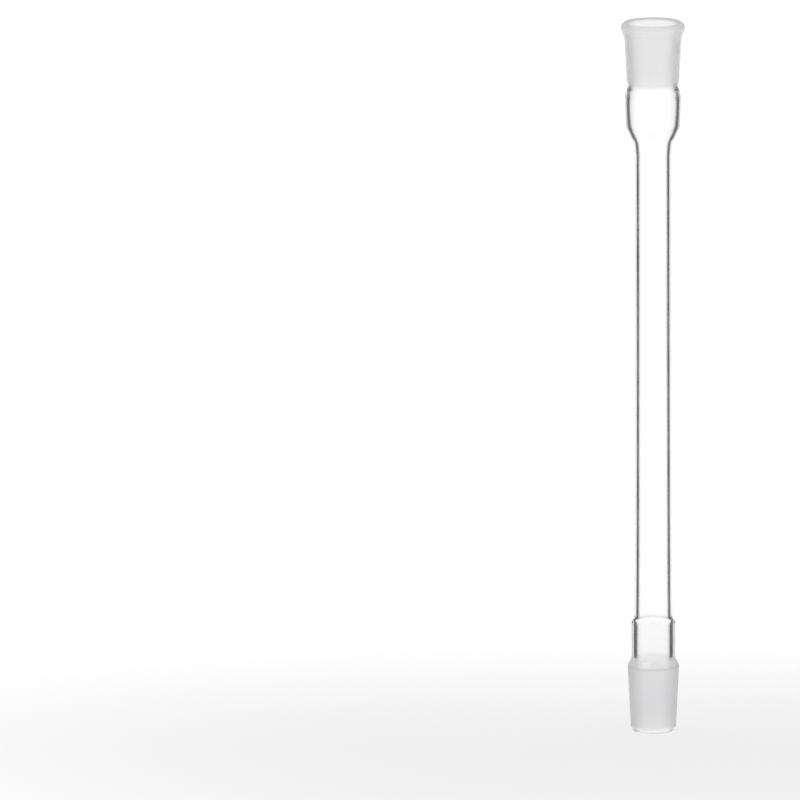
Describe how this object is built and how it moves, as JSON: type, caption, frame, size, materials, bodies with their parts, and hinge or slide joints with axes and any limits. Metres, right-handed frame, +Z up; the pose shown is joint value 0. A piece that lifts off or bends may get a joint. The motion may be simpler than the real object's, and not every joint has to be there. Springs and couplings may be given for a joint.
{
  "type": "air condenser",
  "caption": "Straight glass air condenser with a ground cone below, and an expansion bulb and a ground socket with a flared lip above.",
  "frame": {"origin": "centre of the tip of the ground cone, on the plane that the tip stands on", "axes": "+Z up the axis of the condenser, from the ground cone to the socket; +X and +Y are across it, and the piece is the same all round"},
  "size_m": [0.0296, 0.0296, 0.335],
  "materials": {
    "borosilicate_glass": "clear fire-polished glass, finely ground to a matt white on the outside of the cone and the inside of the socket"
  },
  "bodies": {
    "root": {"condenser_glass": "borosilicate_glass"}
  },
  "joints": []
}
